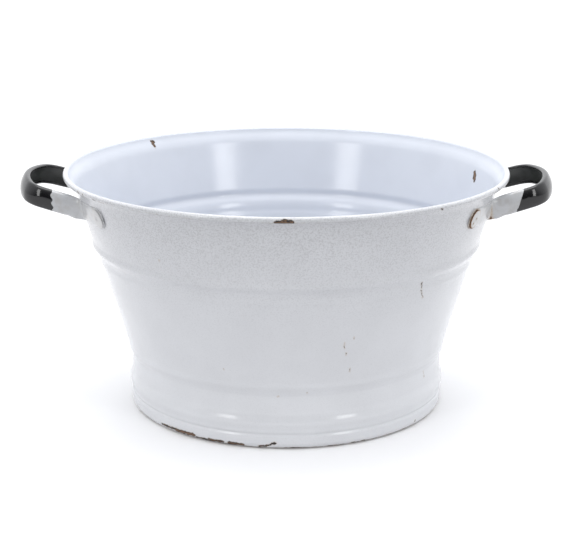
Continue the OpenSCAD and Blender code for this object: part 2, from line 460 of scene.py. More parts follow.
def stroke_group() -> bpy.types.NodeTree:
    """Node group for one mark: its half width less the distance from the stroke's middle line.

    The nearest point on the line from Start along Along is found with a clamped dot product.

    Returns:
        The node tree, made once.
    """
    name = "stroke depth"
    if name in bpy.data.node_groups:
        return bpy.data.node_groups[name]
    tree = bpy.data.node_groups.new(name, "ShaderNodeTree")
    for label, kind in (("Point", "NodeSocketVector"), ("Start", "NodeSocketVector"),
                        ("Along", "NodeSocketVector"), ("Over Length", "NodeSocketFloat"),
                        ("Half", "NodeSocketFloat")):
        tree.interface.new_socket(name=label, in_out="INPUT", socket_type=kind)
    tree.interface.new_socket(name="Depth", in_out="OUTPUT", socket_type="NodeSocketFloat")
    nodes, link = tree.nodes, tree.links.new
    given, result = nodes.new("NodeGroupInput"), nodes.new("NodeGroupOutput")
    # made in the order they are worked out, so that each mark is finished before the next begins
    offset, dot, share, negate, back, length, depth = (nodes.new(kind) for kind in (
        "ShaderNodeVectorMath", "ShaderNodeVectorMath", "ShaderNodeMath", "ShaderNodeMath",
        "ShaderNodeVectorMath", "ShaderNodeVectorMath", "ShaderNodeMath"))
    offset.operation, dot.operation, back.operation, length.operation = (
        "SUBTRACT", "DOT_PRODUCT", "MULTIPLY_ADD", "LENGTH")
    share.operation, share.use_clamp, depth.operation = "MULTIPLY", True, "SUBTRACT"
    negate.operation = "MULTIPLY"
    negate.inputs[1].default_value = -1
    link(given.outputs["Point"], offset.inputs[0])
    link(given.outputs["Start"], offset.inputs[1])
    link(offset.outputs[0], dot.inputs[0])
    link(given.outputs["Along"], dot.inputs[1])
    link(dot.outputs["Value"], share.inputs[0])
    link(given.outputs["Over Length"], share.inputs[1])
    link(share.outputs[0], negate.inputs[0])
    link(given.outputs["Along"], back.inputs[0])
    link(negate.outputs[0], back.inputs[1])
    link(offset.outputs[0], back.inputs[2])
    link(back.outputs[0], length.inputs[0])
    link(given.outputs["Half"], depth.inputs[0])
    link(length.outputs["Value"], depth.inputs[1])
    link(depth.outputs[0], result.inputs[0])
    return tree


def marks_depth(bench: Bench, point: object, marks: list[Mark], wall: Wall) -> bpy.types.NodeSocket:
    """How deep a point lies inside the nearest of several marks.

    Args:
        bench: the material being laid out.
        point: coordinates in metres.
        marks: the marks.
        wall: the wall that they lie on.
    Returns:
        Depth in metres, negative outside all of them.
    """
    found = None
    for mark in marks:
        start, end = mark.ends(wall)
        along = (end - start) * MM
        node = bench.add("ShaderNodeGroup", node_tree=stroke_group())
        bench.feed(node.inputs["Point"], point)
        node.inputs["Start"].default_value = tuple(start * MM)
        node.inputs["Along"].default_value = tuple(along)
        node.inputs["Over Length"].default_value = float(1 / max(along @ along, 1e-9))
        node.inputs["Half"].default_value = mark.half * MM
        found = node.outputs[0] if found is None else bench.maths("MAXIMUM", found, node.outputs[0])
    return found


CHIP_EDGE = (0.012, 0.010, 0.009, 1)
CHIP_CORE = (0.13, 0.095, 0.072, 1)
RUST = (0.22, 0.105, 0.045, 1)


@dataclass(frozen=True)
class BasinEnamel:
    """White enamel of the tub: bluish inside, greyer and finely speckled outside with the speckle thickened toward the
    rim as painted shade, chipped in places.
    """

    outside: tuple[float, float, float, float] = (0.70, 0.71, 0.735, 1)
    inside: tuple[float, float, float, float] = (0.64, 0.67, 0.735, 1)
    # grey of the speckle, which toward the rim also serves as painted shade
    speckle: tuple[float, float, float, float] = (0.36, 0.36, 0.37, 1)
    marks: tuple[Mark, ...] = ()

    def make(self, wall: Wall, zone: Zone) -> bpy.types.Material:
        """Lays out the enamel's nodes for one band of the tub.

        Args:
            wall: the wall that the marks lie on.
            zone: the band whose marks the material holds.
        Returns:
            The material.
        """
        bench = Bench(f"basin enamel {zone.name.lower()}")
        marks = [m for m in self.marks if zone.value[0] <= m.z < zone.value[1]]
        here = bench.here()
        inner = bench.attribute("inside")
        height = bench.add("ShaderNodeSeparateXYZ")
        bench.feed(height.inputs[0], here)
        up = height.outputs[2]
        # fine grey speckle outside, denser toward the rim; that rise in density is painted shade darkening the upper
        # outer wall
        grain = bench.maths("MULTIPLY", bench.noise(here, 0.7, 1.0), bench.noise(here, 1.6, 2.0))
        # painted shade: the speckle thickens with height, so the outer wall greys toward the rim
        rim_shade_ramp = bench.band(up, 0.10, 0.235, 0.0, 1.0)
        speckle_and_rim_shade = bench.band(bench.maths("ADD", grain, bench.maths("MULTIPLY", rim_shade_ramp, 0.035)), 0.27, 0.36)
        speckle_and_rim_shade = bench.maths("MULTIPLY", speckle_and_rim_shade, bench.maths("MULTIPLY_ADD", rim_shade_ramp, 0.34, 0.08))
        speckle_and_rim_shade = bench.maths("MULTIPLY", speckle_and_rim_shade, bench.maths("SUBTRACT", 1.0, inner))
        white = bench.blend(inner, self.outside, self.inside)
        cloud = bench.band(bench.noise(here, 45, 2.0), 0.3, 0.7, 0.965, 1.0)
        white = bench.blend(1.0, white, cloud, "MULTIPLY")
        white = bench.blend(speckle_and_rim_shade, white, self.speckle)
        # marks, with ragged edges
        wobble = bench.vector("SUBTRACT", bench.noise(here, 3.2, 3.0, colour=True), (0.5, 0.5, 0.5)).outputs[0]
        ragged = bench.vector("MULTIPLY_ADD", wobble, (0.0042, 0.0042, 0.0042), here).outputs[0]
        depth = None
        for face in Face:
            chips = [m for m in marks if m.wear is Wear.CHIP and m.face is face]
            if not chips:
                continue
            only = inner if face is Face.INSIDE else bench.maths("SUBTRACT", 1.0, inner)
            part = marks_depth(bench, ragged, chips, wall)
            part = bench.maths("SUBTRACT", part, bench.maths("MULTIPLY", bench.maths("SUBTRACT", 1.0, only), 0.02))
            depth = part if depth is None else bench.maths("MAXIMUM", depth, part)
        # wear along the bottom edge outside, and the dark seam under the rolled rim
        low = bench.maths("SUBTRACT", bench.maths("MULTIPLY_ADD", bench.noise(here, 9, 3.0), 0.0052, -0.0012), up)
        low = bench.maths("SUBTRACT", low, bench.maths("MULTIPLY", inner, 0.02))
        depth = bench.maths("MAXIMUM", depth, low)
        seam = bench.attribute("seam")
        patch = bench.band(bench.noise(here, 26, 3.0), 0.42, 0.62, -0.55, 0.55)
        seam = bench.maths("MULTIPLY", bench.maths("SUBTRACT", patch, seam), MM)
        seam_share = bench.band(seam, -0.0002, 0.0003, 0.0, 0.75)
        stains = [m for m in marks if m.wear is Wear.STAIN]
        if stains:
            stain = bench.band(marks_depth(bench, ragged, stains, wall), -0.0012, 0.0016, 0.0, 0.45)
            stain = bench.maths("MULTIPLY", stain, bench.band(bench.noise(here, 2.0, 3.0), 0.35, 0.65))
            white = bench.blend(stain, white, (0.42, 0.30, 0.19, 1))
        halo = bench.band(depth, -0.0011, 0.0, 0.0, 0.35)
        white = bench.blend(seam_share, white, (0.16, 0.115, 0.08, 1))
        white = bench.blend(halo, white, (0.50, 0.38, 0.27, 1))
        bare = bench.band(depth, -0.00005, 0.00025)
        core = bench.band(bench.maths("MULTIPLY_ADD", bench.noise(here, 1.6, 3.0), 0.0022, depth), 0.0019, 0.0024)
        metal = bench.blend(bench.noise(here, 1.2, 3.0), CHIP_CORE, RUST)
        scar = bench.blend(core, CHIP_EDGE, metal)
        colour = bench.blend(bare, white, scar)
        rough = bench.maths("MULTIPLY_ADD", bare, 0.5, bench.band(bench.noise(here, 30, 3.0), 0.3, 0.7, 0.13, 0.2))
        normal = bench.bump(bench.noise(here, 7, 2.0), 0.05, 0.35)
        return bench.surface(Base_Color=colour, Roughness=rough, Normal=normal, Specular_IOR_Level=0.5, IOR=1.52)


@dataclass(frozen=True)
class StrapEnamel:
    """A handle's finish: glossy black over the grip, white on the legs and feet, rust at its creases."""

    name: str
    white: tuple[float, float, float, float] = (0.60, 0.61, 0.625, 1)
    black: tuple[float, float, float, float] = (0.008, 0.008, 0.009, 1)
    channel: tuple[float, float, float, float] = (0.040, 0.043, 0.040, 1)

    def make(self) -> bpy.types.Material:
        """Lays out the strap's nodes.

        Returns:
            The material.
        """
        bench = Bench(self.name)
        here = bench.here()
        ragged = bench.maths("MULTIPLY_ADD", bench.noise(here, 5, 3.0), 1.6, -0.8)
        dipped = bench.band(bench.maths("ADD", bench.attribute("black"), ragged), -0.25, 0.25)
        hidden = bench.attribute("channel")
        dark = bench.blend(hidden, self.black, self.channel)
        dirt = bench.band(bench.noise(here, 8, 4.0), 0.42, 0.68, 0.0, 0.30)
        pale = bench.blend(dirt, self.white, (0.40, 0.37, 0.33, 1))
        base = bench.blend(dipped, pale, dark)
        grain = bench.maths("MULTIPLY_ADD", bench.noise(here, 2.0, 3.0), 2.4, -1.2)
        rusty = bench.maths("ADD", bench.attribute("rust"), grain)
        halo = bench.band(rusty, -1.6, 0.2, 0.0, 0.55)
        core = bench.band(rusty, 0.1, 0.7)
        rust = bench.blend(bench.noise(here, 1.5, 3.0), (0.030, 0.018, 0.012, 1), (0.26, 0.13, 0.06, 1))
        base = bench.blend(halo, base, (0.52, 0.40, 0.27, 1))
        base = bench.blend(core, base, rust)
        rough = bench.blend(dipped, (0.20,) * 3 + (1,), (0.10,) * 3 + (1,))
        rough = bench.maths("MULTIPLY_ADD", hidden, 0.28, rough)
        rough = bench.maths("MULTIPLY_ADD", core, 0.5, rough, clamp=True)
        peel = bench.bump(bench.noise(here, 4, 3.0), 0.12, 0.5)
        normal = bench.bump(bench.maths("MULTIPLY_ADD", core, -1.0, dipped), 0.2, 0.7, peel)
        return bench.surface(Base_Color=base, Roughness=rough, Normal=normal, Specular_IOR_Level=0.5, IOR=1.52)


@dataclass(frozen=True)
class RivetEnamel:
    """White enamel on a rivet head, with a rusty rim and a few dark pits."""

    name: str
    white: tuple[float, float, float, float] = (0.62, 0.62, 0.62, 1)

    def make(self) -> bpy.types.Material:
        """Lays out the rivet's nodes.

        Returns:
            The material.
        """
        bench = Bench(self.name)
        here = bench.here()
        grain = bench.maths("MULTIPLY_ADD", bench.noise(here, 2.0, 3.0), 2.0, -1.0)
        rusty = bench.maths("ADD", bench.attribute("rust"), grain)
        halo = bench.band(rusty, -1.5, 0.2, 0.0, 0.5)
        core = bench.band(rusty, 0.0, 0.6)
        rust = bench.blend(bench.noise(here, 1.4, 3.0), (0.030, 0.018, 0.012, 1), (0.28, 0.14, 0.06, 1))
        base = bench.blend(halo, self.white, (0.50, 0.39, 0.28, 1))
        base = bench.blend(core, base, rust)
        rough = bench.maths("MULTIPLY_ADD", core, 0.55, 0.2)
        normal = bench.bump(bench.noise(here, 3, 3.0), 0.15, 0.6)
        return bench.surface(Base_Color=base, Roughness=rough, Normal=normal, Specular_IOR_Level=0.5)


@dataclass(frozen=True)
class DrawnSteel:
    """Plain drawn wire, slightly stained."""

    def make(self) -> bpy.types.Material:
        """Lays out the wire's nodes.

        Returns:
            The material.
        """
        bench = Bench("drawn steel")
        here = bench.here()
        tone = bench.blend(bench.noise(here, 6, 3.0), (0.34, 0.33, 0.32, 1), (0.24, 0.19, 0.15, 1))
        return bench.surface(Base_Color=tone, Metallic=1.0, Roughness=0.42)


# the sub-assemblies


@dataclass
class Tub:
    """The pressed shell: raised bottom, foot, waist, ringed wall and rolled rim, in one skin."""

    wall: Wall
    marks: tuple[Mark, ...]
    panel_r: float = 138.0
    panel_rise: float = 3.0
    columns: int = 384
    chip_depth: float = 0.3
    spread: list[tuple[float, float, float]] = field(default_factory=lambda: [
        (-90.4, 5.0, 2.5), (-118.0, 22.0, 1.2), (17.4, 3.0, 1.5), (133.2, 3.0, 1.5), (-47.0, 3.0, 1.0)])

    def heights(self) -> np.ndarray:
        """Heights of the outline's points on the wall, close together where it bends."""
        w = self.wall
        parts = [
            np.linspace(w.foot_corner, 12, 3), np.linspace(12.4, 17, 8), np.linspace(18, 37.5, 16),
            np.linspace(40, 51.6, 4), np.linspace(52.2, 67, 12), np.linspace(74, 144, 9),
            np.linspace(145.5, 154.5, 8), np.linspace(155.6, 175.5, 22), np.linspace(180, 218, 7),
            np.linspace(222, 231.4, 8),
        ]
        return np.concatenate(parts)

    def profile(self) -> tuple[np.ndarray, np.ndarray, np.ndarray]:
        """Closed half section of the shell.

        Returns:
            The points, how far inside each is from 0 to 1, and each one's distance from the seam
            under the rolled rim.
        """
        w = self.wall
        z = self.heights()
        t = w.sheet
        slope = np.gradient(w.radius(z), z)
        across = np.stack([np.ones_like(slope), -slope], -1) / np.hypot(1, slope)[:, None]
        face = np.stack([w.radius(z), z], -1)
        mid = w.foot_r - w.foot_corner
        corner = arc(mid, w.foot_corner, w.foot_corner, -90, -6, 12)
        panel = np.array([[0, self.panel_rise], [60, self.panel_rise], [self.panel_r - 1, self.panel_rise],
                          [self.panel_r + 0.6, self.panel_rise - 0.6],
                          [self.panel_r + self.panel_rise - 0.6, 0.6], [self.panel_r + self.panel_rise + 1, 0]])
        seam = np.array([[float(w.radius(231.9)), 231.9], [float(w.radius(232.25)) + 0.05, 232.25]])
        roll = arc(w.curl_x, w.curl_z, w.curl_r, -101, 172, 26)
        outer = np.concatenate([panel, corner, face])
        thin = np.r_[0:len(z):1]
        inner = (face - t * across)[thin][::-1]
        inner_corner = arc(mid, w.foot_corner, w.foot_corner - t, -6, -90, 8)
        inner_panel = np.array([[self.panel_r + self.panel_rise + 1.4, t], [self.panel_r + self.panel_rise, t + 0.5],
                                [self.panel_r + 1, self.panel_rise + t - 0.5], [self.panel_r - 1, self.panel_rise + t],
                                [60, self.panel_rise + t], [0, self.panel_rise + t]])
        points = np.concatenate([outer, seam, roll, inner, inner_corner, inner_panel])
        inside = np.concatenate([np.zeros(len(outer) + len(seam)), ease((np.linspace(-101, 172, 26) - 60) / 70),
                                 np.ones(len(points) - len(outer) - len(seam) - len(roll))])
        groove = np.array([w.curl_x + w.curl_r * math.cos(math.radians(-112)),
                           w.curl_z + w.curl_r * math.sin(math.radians(-112))])
        gap = np.linalg.norm(points - groove, axis=-1)
        gap = np.where(inside > 0, 9.0, gap)
        return points, inside, gap

    def turns(self) -> np.ndarray:
        """Azimuths of the columns in radians.

        They are spread by the inverse of a running sum of density: one everywhere, plus a bell at each
        place in the spread list (degrees, half width, extra density).
        """
        fine = np.linspace(-180, 180, 7201)
        density = np.ones_like(fine)
        for centre, half, extra in self.spread:
            gap = (fine - centre + 180) % 360 - 180
            density += extra * np.exp(-(gap / half) ** 2)
        total = np.concatenate([[0], np.cumsum((density[1:] + density[:-1]) / 2)])
        return np.radians(np.interp(np.arange(self.columns) / self.columns * total[-1], total, fine))

    def unevenness(self, points: np.ndarray, turns: np.ndarray) -> np.ndarray:
        """Change of radius from hand work.

        A few slow cosines round the tub whose phase drifts with height, and shallow bell-shaped dents.

        Args:
            points: the profile, n by 2.
            turns: azimuths in radians.
        Returns:
            Millimetres, n by columns.
        """
        z = points[:, 1:]
        free = ease(z / 40)
        waves = sum(size * np.cos(count * turns + phase + z / reach) for count, size, phase, reach in (
            (2, 0.22, 0.4, 400.0), (3, 0.14, 1.9, 300.0), (5, 0.08, 4.1, 160.0), (9, 0.05, 2.2, 90.0),
            (14, 0.035, 0.7, 60.0), (23, 0.02, 5.0, 40.0)))
        dents = 0
        for turn, height, wide, tall, depth in (
                (-104, 118, 16, 22, 0.55), (-71, 100, 9, 20, 0.35), (-47, 146, 7, 16, 0.35),
                (-132, 75, 14, 14, 0.40), (38, 120, 18, 25, 0.5), (112, 90, 20, 22, 0.6),
                (160, 200, 12, 12, 0.3), (-150, 130, 14, 22, 0.45), (75, 30, 10, 10, 0.3)):
            gap = (np.degrees(turns) - turn + 180) % 360 - 180
            dents = dents - depth * np.exp(-(gap / wide) ** 2 - ((z - height) / tall) ** 2)
        return free * (waves + dents)

    def carve(self, grid: np.ndarray, inside: np.ndarray) -> np.ndarray:
        """Depth of the chips at each vertex: full inside a mark, easing out over its edge.

        Args:
            grid: vertices, rings by columns by 3.
            inside: 0 outside the tub and 1 inside it, rings by columns.
        Returns:
            Millimetres.
        """
        depth = np.zeros(grid.shape[:2])
        for mark in (m for m in self.marks if m.wear is Wear.CHIP and m.half >= 1.0):
            start, end = mark.ends(self.wall)
            along = end - start
            share = np.clip((grid - start) @ along / max(along @ along, 1e-6), 0, 1)
            gap = mark.half - np.linalg.norm(grid - start - share[..., None] * along, axis=-1)
            own = inside if mark.face is Face.INSIDE else 1 - inside
            depth = np.maximum(depth, ease((gap + 0.3) / 0.8) * own)
        return self.chip_depth * depth

    def build(self) -> bpy.types.Object:
        """Makes the shell.

        Returns:
            The object.
        """
        points, inside, gap = self.profile()
        turns = self.turns()
        shift = self.unevenness(points, turns)[1:-1]
        rings = points[1:-1]
        radius = rings[:, :1] + shift
        grid = np.stack([radius * np.cos(turns), radius * np.sin(turns),
                         np.broadcast_to(rings[:, 1:], radius.shape)], -1)
        within = np.broadcast_to(inside[1:-1, None], radius.shape)
        carved = self.carve(grid, within)
        shift = shift - carved * (1 - 2 * within)
        shell = lathe("tub", points, turns, shift, inside=within,
                      seam=np.broadcast_to(gap[1:-1, None], radius.shape))
        heights = np.empty(len(shell.data.polygons) * 3)
        shell.data.polygons.foreach_get("center", heights)
        zones = np.zeros(len(shell.data.polygons), int)
        enamel = BasinEnamel(marks=self.marks)
        for number, zone in enumerate(Zone):
            shell.data.materials.append(enamel.make(self.wall, zone))
            zones[heights[2::3] >= zone.value[0] * MM] = number
        shell.data.polygons.foreach_set("material_index", zones.astype(np.int32))
        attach(shell, "root")
        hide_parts("tub_shell")
        return shell


@dataclass
class StrapHandle:
    """One strap handle: a bowed grip of channel section whose legs turn onto the wall as flat feet."""

    wall: Wall
    side: Side
    black_at: tuple[float, float, float] = (21.9, 0.64, 0.0)
    rust: float = -4.0
    ring_rust: float = -4.0
    z: float = 209.0
    tilt: float = 15.5
    reach: float = 61.1
    grip_r: float = 104.0
    grip_turn: float = 24.0
    corner_r: float = 24.0
    spread: float = 6.0
    height: float = 20.0
    depth: float = 7.5
    thick: float = 1.5
    crown_r: float = 22.0
    shoulder_r: float = 3.2
    edge_r: float = 1.3
    foot_h: float = 21.0
    foot_len: float = 52.0
    foot_rise: float = 4.0
    seat: float = 0.25
    head_r: float = 9.5

    @property
    def axes(self) -> np.ndarray:
        """Unit vectors of the handle's plane: outward, sideways, and across the strap."""
        a = math.radians(self.tilt)
        return np.array([[math.cos(a), 0, math.sin(a)], [0, 1, 0], [-math.sin(a), 0, math.cos(a)]])

    @property
    def leg_start(self) -> np.ndarray:
        """Where a corner's arc ends and the straight leg begins, in the handle's plane."""
        turn, spread = math.radians(self.grip_turn), math.radians(self.spread)
        u = self.reach - self.grip_r + (self.grip_r - self.corner_r) * math.cos(turn)
        v = (self.grip_r - self.corner_r) * math.sin(turn)
        return np.array([u + self.corner_r * math.sin(spread), v + self.corner_r * math.cos(spread)])

    def to_space(self, plane: np.ndarray) -> np.ndarray:
        """Points of the handle's plane, n by 2, as points in space."""
        foot = np.array([float(self.wall.radius(self.z)), 0, self.z])
        return foot + plane @ self.axes[:2]

    def rivet_place(self) -> tuple[float, float]:
        """Azimuth in radians and height of the rear rivet."""
        w = self.wall
        start, spread = self.leg_start, math.radians(self.spread)
        y = start[1] + start[0] * math.tan(spread)
        r = float(w.radius(self.z))
        x = math.sqrt(r * r - y * y)
        z = self.z - (r - x) * math.tan(math.radians(self.tilt))
        turn = math.asin(y / float(w.radius(z)))
        return turn + self.foot_len / float(w.radius(z + self.foot_rise)), z + self.foot_rise

    def half_path(self) -> tuple[np.ndarray, np.ndarray, np.ndarray, float]:
        """Path of the strap's crown from the grip's middle to the end of the rear foot.

        Grip arc, corner arc and straight leg lie in the handle's plane. The foot follows the wall's
        face. Between leg and foot the path is a short quadratic curve about the point where they would
        meet, and the direction across the strap turns smoothly from the plane's to the wall's.

        Returns:
            Points, directions across the strap, the lengthwise distance of each point, and the
            distance at which the leg meets the wall.
        """
        w = self.wall
        turn, spread = self.grip_turn, math.radians(self.spread)
        mid = arc(self.reach - self.grip_r, 0, self.grip_r, 0, turn, 30)[:-1]
        centre = self.leg_start - self.corner_r * np.array([math.sin(spread), math.cos(spread)])
        corner = arc(centre[0], centre[1], self.corner_r, turn, 90 - self.spread, 34)[:-1]
        along = np.array([-math.cos(spread), math.sin(spread)])
        stand = self.seat + self.thick
        steps = np.linspace(0, 70, 701)
        line = self.to_space(self.leg_start + steps[:, None] * along)
        gap = np.hypot(line[:, 0], line[:, 1]) - w.radius(line[:, 2]) - stand / math.cos(w.lean)
        reach = float(np.interp(0, -gap, steps))
        bend = 4.5
        straight = self.leg_start + np.linspace(0, reach - bend, 34)[:, None] * along
        plane = self.to_space(np.concatenate([mid, corner, straight]))
        meet = self.to_space(self.leg_start + reach * along)
        meet_turn = math.atan2(meet[1], meet[0])
        rivet_turn, rivet_z = self.rivet_place()
        meet_z = float(meet[2]) + stand * math.sin(w.lean)
        far = rivet_turn + self.foot_h / 2 / float(w.radius(rivet_z))
        span = (far - meet_turn) * float(w.radius(rivet_z))
        share = np.concatenate([np.linspace(bend / span, 0.86, 34), np.linspace(0.87, 1, 14)])
        turns = meet_turn + share * (far - meet_turn)
        heights = meet_z + (rivet_z - meet_z) * (turns - meet_turn) / (rivet_turn - meet_turn)
        foot = w.place(turns, heights, stand)
        s = np.linspace(0, 1, 12)[1:-1, None]
        curve = (1 - s) ** 2 * plane[-1] + 2 * s * (1 - s) * meet + s ** 2 * foot[0]
        path = np.concatenate([plane, curve, foot])
        ease_in = np.concatenate([np.zeros(len(mid) + len(corner)),
                                  ease((np.linspace(0, reach - bend, 34) - reach + 20) / 24) * 0.8,
                                  0.8 + 0.2 * s[:, 0], np.ones(len(foot))])[:, None]
        all_turns = np.arctan2(path[:, 1], path[:, 0])
        across = unit((1 - ease_in) * self.axes[2] + ease_in * w.upward(all_turns))
        length = np.concatenate([[0], np.cumsum(np.linalg.norm(np.diff(path, axis=0), axis=-1))])
        crease = float(length[len(plane) + 4])
        return path, across, length, crease

    def channel_section(self) -> tuple[np.ndarray, np.ndarray]:
        """Outline of the full channel and of the flat foot, point for point.

        The channel is a crown arc, two shoulder arcs and two rolled lips, closed by the inner face. The
        foot is a plate whose face falls off toward its edges like the sixth power of the distance
        from its middle. Both start at the lower lip.

        Returns:
            Two arrays of points (outward from the crown, across the strap).
        """
        half, r, crown = self.height / 2, self.shoulder_r, self.crown_r
        y = half - r
        turn = math.degrees(math.asin(y / (crown - r)))
        x = (crown - r) * math.cos(math.radians(turn)) - crown
        lip_x, lip_y = self.edge_r - self.depth, self.edge_r - half

        def face(cut: float) -> np.ndarray:
            """Lower half of a face at a depth under the surface, ending short of the middle."""
            return np.concatenate([arc(x, -y, r - cut, -90, -turn, 7)[:-1],
                                   arc(-crown, 0, crown - cut, -turn, 0, 10)[:-1]])

        wall_line = np.stack([np.linspace(lip_x, x, 6)[1:-1], np.full(4, -half)], -1)
        outer_half = np.concatenate([wall_line, face(0)])
        inner_half = face(self.thick)
        lip = arc(lip_x, lip_y, self.edge_r, 60, 270, 12)
        over = np.array([1, -1])
        outer = np.concatenate([outer_half, [[0, 0]], outer_half[::-1] * over])
        inner = np.concatenate([inner_half[::-1] * over * over, [[-self.thick, 0]], inner_half * over])
        inner = np.concatenate([inner_half, [[-self.thick, 0]], inner_half[::-1] * over])[::-1]
        channel = np.concatenate([lip[::1], outer, lip[::-1] * over, inner])
        n_lip, n_out, n_in = len(lip), len(outer), len(inner)
        wide = self.foot_h / 2
        across = np.linspace(-0.96, 0.96, n_out)
        top = np.stack([-1.0 * np.abs(across) ** 6, across * wide], -1)
        edge = arc(-self.thick * 0.85, -wide * 0.96, self.thick * 0.35, -120, -90, n_lip) * 1.0
        low_edge = np.stack([np.linspace(-self.thick, -1.05, n_lip), np.linspace(-wide, -wide * 0.975, n_lip)], -1)
        flat_in = np.stack([np.full(n_in, -self.thick), np.linspace(wide * 0.97, -wide * 0.97, n_in)], -1)
        del edge
        flat = np.concatenate([low_edge, top, low_edge[::-1] * over, flat_in])
        return channel, flat

    def build(self) -> bpy.types.Object:
        """Makes the strap by carrying its section along the path, mirrored to both legs.

        Returns:
            The object.
        """
        path, across, length, crease = self.half_path()
        mirror = np.array([1, -1, 1])
        path = np.concatenate([(path * mirror)[:0:-1], path])
        across = np.concatenate([(across * mirror)[:0:-1], across])
        place = np.concatenate([-length[:0:-1], length])
        tangent = unit(np.gradient(path, place, axis=0))
        across = unit(across - (across * tangent).sum(-1, keepdims=True) * tangent)
        normal = np.cross(tangent, across)
        distance = np.abs(place)
        end = distance[-1]
        channel, flat = self.channel_section()
        full = ease((crease - 1.0 - distance) / 17)[:, None, None]
        section = full * channel + (1 - full) * flat
        left = np.clip((end - distance) / (self.foot_h / 2), 0, 1)
        round_end = np.sqrt(np.clip(1 - (1 - left) ** 2, 0, 1))
        section[..., 1] *= np.maximum(round_end, 0.02)[:, None]
        thin = ease(left / 0.12)[:, None]
        section[..., 0] = section[..., 0] * thin - 0.8 * (1 - thin)
        skin = path[:, None] + section[..., :1] * normal[:, None] + section[..., 1:] * across[:, None]
        count = section.shape[1]
        rows = len(path)
        poles = skin[[0, -1]].mean(axis=1)
        faces = ring_faces(rows, count)
        caps = cap_faces(np.arange(count), rows * count, True)
        caps += cap_faces(np.arange(count) + (rows - 1) * count, rows * count + 1, False)
        flip = self.side is Side.LEFT
        vertices = np.concatenate([skin.reshape(-1, 3), poles])
        if flip:
            vertices = vertices * np.array([-1, 1, 1])
        faces = faces.tolist() + caps
        if flip:
            faces = [f[::-1] for f in faces]
        values = self.fields(place, section, crease, skin)
        whole = {k: np.concatenate([v.ravel(), [v[0].mean(), v[-1].mean()]]) for k, v in values.items()}
        strap = make_mesh(f"{self.side.name.lower()}_strap", vertices, faces, **whole)
        strap.data.materials.append(StrapEnamel(f"{self.side.name.lower()} strap enamel").make())
        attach(strap, "root")
        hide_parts(f"{self.side.name.lower()}_handle")
        return strap

    def fields(self, place: np.ndarray, section: np.ndarray, crease: float, skin: np.ndarray) -> dict[str, np.ndarray]:
        """Numbers that the finish reads at each vertex.

        Args:
            place: lengthwise distance of each ring from the grip's middle, negative in front.
            section: the section's points at each ring.
            crease: the distance at which a leg meets the wall.
            skin: the vertices, rings by points by 3.
        Returns:
            black: millimetres inside the black dip. channel: 1 on the hollow face. rust: millimetres
            inside rust at the front crease or round the front rivet.
        """
        t = section[..., 1]
        leg = self.leg_start[0]
        start, lean, wave = self.black_at
        arcs = math.radians(self.grip_turn) * self.grip_r
        arcs += math.radians(90 - self.spread - self.grip_turn) * self.corner_r
        border = arcs + (leg - start - lean * t) / math.cos(math.radians(self.spread)) + wave * np.sin(t * 0.9)
        rear = arcs + leg - 21 + 0 * t
        black = np.where(place[:, None] < 0, border, rear) - np.abs(place)[:, None]
        count = section.shape[1]
        inner = np.zeros(count)
        inner[-(count // 3):] = 1
        channel = np.broadcast_to(inner * 1.0, t.shape)
        front = (place < 0)[:, None]
        top = np.arange(count)[None] < count - count // 3
        heavy = 0.5 + 0.9 * ease((-t - 4) / 6) + 0.4 * ease((t - 6) / 4)
        line = heavy + self.rust - np.abs(np.abs(place)[:, None] - crease)
        turn, z = self.rivet_place()
        centre = self.wall.place(np.array(-turn), np.array(z), self.seat + self.thick)
        ring = 0.6 + self.ring_rust - np.abs(np.linalg.norm(skin - centre, axis=-1) - self.head_r - 0.2)
        rust = np.where(front & top, np.maximum(line, ring), -6.0)
        return {"black": black, "channel": channel, "rust": rust}


